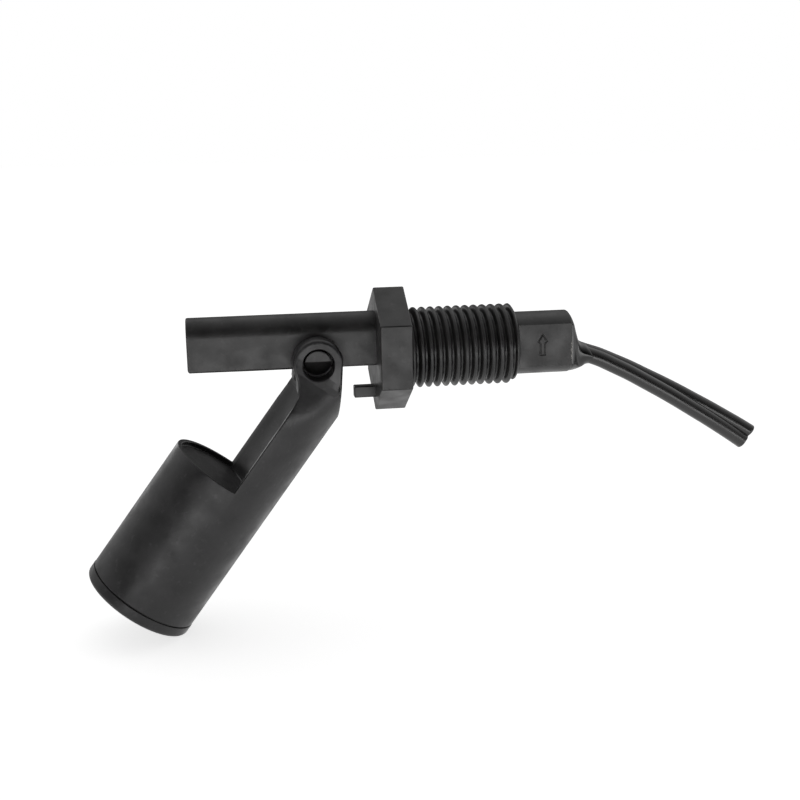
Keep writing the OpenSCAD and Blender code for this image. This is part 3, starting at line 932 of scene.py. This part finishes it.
class SWITCH_OT_float_end_cap(Operator):
    """Turns the welded end cap with its weld line"""

    bl_idname = "switch.float_end_cap"
    bl_label = "Float end cap"

    def execute(self, context):
        sizes = context.scene.float_sizes
        radius, weld = sizes.diameter / 2, sizes.weld_distance
        edge, end = sizes.cap_edge, sizes.weld_distance + sizes.cap_thickness
        spigot = (radius - 1.3 * MM, radius - 2.6 * MM)
        # The profile goes from the hollow's ceiling over the spigot to the weld line, the rim and the end face
        rim = radius + 0.07 * MM
        inner = [(0.05 * MM, weld), (spigot[1], weld), (spigot[1], weld - 2 * MM), (spigot[0], weld - 2 * MM),
                 (spigot[0], weld), (radius - 0.34 * MM, weld), (radius - 0.3 * MM, weld + 0.14 * MM),
                 (rim - 0.06 * MM, weld + 0.2 * MM), (rim, weld + 0.32 * MM)]
        rounding = arc(rim - edge, end - edge, edge, 0, 90, 10)
        face = [(radius - 1.5 * MM, end), (radius - 1.8 * MM, end - 0.12 * MM), (0.05 * MM, end - 0.12 * MM)]
        profile = np.concatenate([inner, rounding, face])
        angle = turns(192)
        reach, along = profile[:, :1], profile[:, 1:] + 0 * angle
        rings = on_float(sizes.axis_offset + reach * np.sin(angle), reach * np.cos(angle), along)
        finish = finish_of("moulded_polypropylene_float")
        cap = add_piece("float_end_cap_skin", *closed_tube(rings), "float", finish, "float", sharp=32)
        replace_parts(cap, "float_end_cap")
        return {"FINISHED"}


class SWITCH_OT_resin(Operator):
    """Pours the glossy resin over the tail's mouth and round the cable"""

    bl_idname = "switch.resin"
    bl_label = "Resin collar"

    def execute(self, context):
        body = context.scene.body_sizes
        radius, flat = body.tail_diameter / 2 - 0.15 * MM, body.tail_flats / 2 - 0.12 * MM
        angle = turns(120)
        # Millimetres: X from the mouth and height of the top, the same of the underside, and the half width
        profile = np.array([
            (-1.0, 5.5, -1.0, -5.5, 4.0), (0.4, 6.1, 0.4, -6.1, 4.48), (0.65, 5.75, 0.9, -6.08, 4.3),
            (0.85, 5.35, 1.3, -6.03, 4.0), (1.1, 4.7, 1.7, -5.96, 3.65), (1.3, 4.0, 2.1, -5.86, 3.4),
            (1.55, 3.1, 2.5, -5.74, 3.2), (1.8, 2.2, 2.9, -5.6, 3.1), (2.05, 1.3, 3.3, -5.42, 3.05),
            (2.4, 0.5, 3.7, -5.2, 3.05), (2.95, -0.05, 4.1, -5.02, 3.05), (3.6, -0.38, 4.6, -4.9, 3.05),
            (4.3, -0.75, 5.2, -4.86, 3.0), (4.8, -1.2, 5.7, -4.95, 2.85), (5.1, -2.1, 6.0, -4.5, 2.2)]) * MM
        rings = []
        for top_out, top, under_out, under, half in profile:
            # The section goes from the tail's flattened circle to an ellipse round the cable
            close = np.clip((top_out - 0.4 * MM) / (2.6 * MM), 0, 1)
            least = min(half, flat)
            y = (1 - close) * np.clip(radius * np.cos(angle), -least, least) + close * half * np.cos(angle)
            x = BODY_HIGH.x + (top_out + under_out) / 2 + (top_out - under_out) / 2 * np.sin(angle)
            z = (top + under) / 2 + (top - under) / 2 * np.sin(angle)
            rings.append(np.column_stack([x, y, z]))
        tube = closed_tube(np.array(rings))
        collar = add_piece("resin_collar", *tube, "body", finish_of("potting_epoxy"), "resin", sharp=80)
        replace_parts(collar, "potting_resin")
        return {"FINISHED"}


class SWITCH_OT_glue_trace(Operator):
    """Leaves the thin pale trace of dried glue along the front flat's end"""

    bl_idname = "switch.glue_trace"
    bl_label = "Glue trace"

    def execute(self, context):
        flat = context.scene.body_sizes.tail_flats / 2
        steps = np.linspace(0, 1, 60)[:, None]
        angle = turns(14)
        # A thread of glue down the edge whose thickness swells and thins by a sum of three waves
        swell = 0.55 + 0.25 * np.sin(17 * steps) + 0.16 * np.sin(41 * steps + 1) + 0.12 * np.sin(73 * steps + 2)
        radius = 0.16 * MM * swell * np.sin(math.pi * steps) ** 0.4 + 0.005 * MM
        z = 0.8 * MM - 3.9 * MM * steps
        x = BODY_HIGH.x + 0.28 * MM + 0.06 * MM * np.sin(23 * steps)
        rings = np.stack([x - radius * np.cos(angle) * 1.3, -flat + 0.06 * MM + radius * np.sin(angle) * 0.8,
                          z + 0 * angle], -1)
        add_piece("glue_trace", *closed_tube(rings), "body", finish_of("dried_glue"), "resin", sharp=80)
        return {"FINISHED"}


class SWITCH_OT_inner_finishes(Operator):
    """Gives the magnet, the reed switch and the wiring their own finishes"""

    bl_idname = "switch.inner_finishes"
    bl_label = "Inner finishes"

    def execute(self, context):
        finishes = {
            "float_magnet": "sintered_ferrite", "reed_glass": "reed_tube_glass",
            "reed_blade_tip": "plated_nickel_iron", "reed_blade_tail": "plated_nickel_iron",
            "solder_joint_tip": "tin_solder", "solder_joint_tail": "tin_solder",
            "sleeve_tip": "shrink_sleeve", "sleeve_tail": "shrink_sleeve",
            "copper_core_a": "drawn_copper", "copper_core_b": "drawn_copper",
            "core_insulation_a": "core_insulation_red", "core_insulation_b": "core_insulation_black",
        }
        for node, name in finishes.items():
            slots = frame["nodes"][node].data.materials
            slots.clear()
            slots.append(finish_of(name))
        return {"FINISHED"}


def seen_by_eye(tree):
    """1 for the rays by which the camera, gloss and glass see the background, and 0 for the others."""
    path = add_node(tree, "ShaderNodeLightPath")
    seen = path.outputs["Is Camera Ray"]
    for kind in ("Is Glossy Ray", "Is Transmission Ray"):
        seen = combine(tree, "MAXIMUM", seen, path.outputs[kind])
    return seen


class SWITCH_OT_stage(Operator):
    """Sets the white floor, the white backdrop, the studio lamp and the painted reflection of the room's dark
    side
    """

    bl_idname = "switch.stage"
    bl_label = "Floor and lamp"

    def execute(self, context):
        scene = context.scene
        scene.view_settings.view_transform = "Standard"
        self.floor(scene)
        self.world(scene)
        self.dark_room(scene)
        self.lamp(scene)
        return {"FINISHED"}

    def sheet(self, scene, name, places, material):
        """A sheet through a grid of places, set on the stage."""
        rows, columns = places.shape[:2]
        row, column = np.meshgrid(np.arange(rows - 1), np.arange(columns - 1), indexing="ij")
        first = row * columns + column
        faces = np.stack([first, first + columns, first + columns + 1, first + 1], -1).reshape(-1, 4)
        mesh = bpy.data.meshes.new(name)
        mesh.from_pydata(places.reshape(-1, 3).tolist(), [], faces.tolist())
        mesh.materials.append(material)
        sheet = bpy.data.objects.new(name, mesh)
        scene.collection.objects.link(sheet)
        return sheet

    def glowing(self, name, base, roughness):
        """A material without gloss that gives off light, its tree, its strength's socket and X, Y and Z."""
        material, tree, shader, place = new_material(name, base, roughness)
        shader.inputs["Specular IOR Level"].default_value = 0
        shader.inputs["Emission Color"].default_value = (1, 1, 1, 1)
        separate = add_node(tree, "ShaderNodeSeparateXYZ", None, {0: place})
        return material, tree, shader.inputs["Emission Strength"], separate.outputs

    def floor(self, scene):
        """A wide floor just under the object's lowest point, white but for the object's soft shadow."""
        low = CAD_BOX[0].z - 0.2 * MM
        grid = np.linspace(-3, 3, 13)
        x, y = np.meshgrid(grid, grid, indexing="ij")
        material, tree, strength, (_, along, _) = self.glowing("paper_floor", scene.switch_colours.floor, 0.9)
        # Painted reflection: for gloss rays only, the floor glows brighter in front of the set, behind the
        # camera's view, and dimmer at the back
        front, back = remap(tree, along, -0.2, -0.08, 2.5, 0), remap(tree, along, 0.0, 0.22, -0.05, -0.65)
        gloss = add_node(tree, "ShaderNodeLightPath").outputs["Is Glossy Ray"]
        painted_floor_reflection = combine(tree, "MULTIPLY", combine(tree, "ADD", front, back), gloss)
        glow = remap(tree, seen_by_eye(tree), 0, 1, 0, 0.7)
        tree.links.new(combine(tree, "ADD", glow, painted_floor_reflection), strength)
        self.sheet(scene, "floor", np.stack([x, y, np.full_like(x, low)], -1), material)

    def world(self, scene):
        """White where the camera, gloss and glass look, and a soft even grey as light."""
        world = bpy.data.worlds.new("studio")
        world.use_nodes = True
        tree = world.node_tree
        light = tree.nodes["Background"]
        light.inputs["Color"].default_value = (1, 1, 1, 1)
        tree.links.new(remap(tree, seen_by_eye(tree), 0, 1, 0.35, 1), light.inputs["Strength"])
        scene.world = world

    def dark_room(self, scene):
        """A painted reflection of the room: half a dome that glows only in the object's gloss, dark in front
        and dim at the back.

        A point is radius * (sin a, -cos e cos a, sin e cos a), for e up from the floor and a to both sides.
        """
        radius = 0.5
        up, aside = np.radians(np.linspace(-9, 186, 60)), np.radians(np.linspace(-90, 90, 60))
        e, a = np.meshgrid(up, aside, indexing="ij")
        dome = radius * np.stack([np.sin(a), -np.cos(e) * np.cos(a), np.sin(e) * np.cos(a)], -1)
        material, tree, strength, (x, y, z) = self.glowing("dark_room_wall", (0, 0, 0), 1)
        # The dome's painted reflected glow grows from the front, fades at the back and is a little less on the
        # left
        light = remap(tree, y, -0.85 * radius, 0.3 * radius, 0.02, 0.85)
        light = combine(tree, "MULTIPLY", light, remap(tree, y, 0.6 * radius, 0.94 * radius, 1, 0.12))
        light = combine(tree, "MULTIPLY", light, remap(tree, x, -0.8 * radius, -0.3 * radius, 0.8, 1))
        # A painted reflection of a low window on the left adds to it, between its two sides, where no lamp
        # stands
        painted_window_reflection = remap(tree, z, 0.15 * radius, 0.35 * radius, 1.5, 0)
        for out, within in ((-0.18, -0.34), (-0.66, -0.5)):
            painted_window_reflection = combine(tree, "MULTIPLY", painted_window_reflection, remap(tree, x, out * radius, within * radius, 0, 1))
        tree.links.new(combine(tree, "ADD", light, painted_window_reflection), strength)
        painted_reflection_sheet = self.sheet(scene, "dark_room", dome, material)
        # The dome glows only in gloss, as a painted reflection: the camera, diffuse light, glass and shadows
        # pass it by
        for rays in ("camera", "diffuse", "transmission", "shadow"):
            setattr(painted_reflection_sheet, "visible_" + rays, False)

    def lamp(self, scene):
        """A square soft panel above the set and a little behind it, turned to it."""
        data = bpy.data.lights.new("top_panel", "AREA")
        data.size, data.energy = 0.7, 0.5
        lamp = bpy.data.objects.new("top_panel", data)
        lamp.location = (0, 0.25, 0.6)
        lamp.rotation_euler = lamp.location.to_track_quat("Z", "Y").to_euler()
        scene.collection.objects.link(lamp)


class SWITCH_PT_panel(Panel):
    """Lists the sizes, the colours and the steps that build the switch"""

    bl_idname = "SWITCH_PT_panel"
    bl_label = "Float switch"
    bl_space_type = "VIEW_3D"
    bl_region_type = "UI"
    bl_category = "Float switch"

    def draw(self, context):
        for group in GROUPS:
            box = self.layout.box()
            for name in GROUPS[group].__annotations__:
                box.prop(getattr(context.scene, group), name)
        for operator in OPERATORS:
            self.layout.operator(operator.bl_idname)


GROUPS = {"body_sizes": BodySizes, "float_sizes": FloatSizes, "cable_sizes": CableSizes,
          "switch_colours": SwitchColours}
OPERATORS = [SWITCH_OT_camera, SWITCH_OT_cable, SWITCH_OT_stem, SWITCH_OT_hexagon, SWITCH_OT_shank,
             SWITCH_OT_tail, SWITCH_OT_stop_peg, SWITCH_OT_hinge_stubs, SWITCH_OT_float_shell,
             SWITCH_OT_float_end_cap, SWITCH_OT_resin, SWITCH_OT_glue_trace, SWITCH_OT_inner_finishes,
             SWITCH_OT_stage]


def register():
    """Registers the groups, the operators and the panel."""
    for name, group in GROUPS.items():
        bpy.utils.register_class(group)
        setattr(bpy.types.Scene, name, PointerProperty(type=group))
    for item in [*OPERATORS, SWITCH_PT_panel]:
        bpy.utils.register_class(item)


def unregister():
    """Takes all of them away again."""
    for item in [SWITCH_PT_panel, *reversed(OPERATORS)]:
        bpy.utils.unregister_class(item)
    for name, group in GROUPS.items():
        delattr(bpy.types.Scene, name)
        bpy.utils.unregister_class(group)


def main():
    register()
    for operator in OPERATORS:
        group, step = operator.bl_idname.split(".")
        getattr(getattr(bpy.ops, group), step)()
    bpy.context.view_layer.update()


if __name__ == "__main__":
    main()
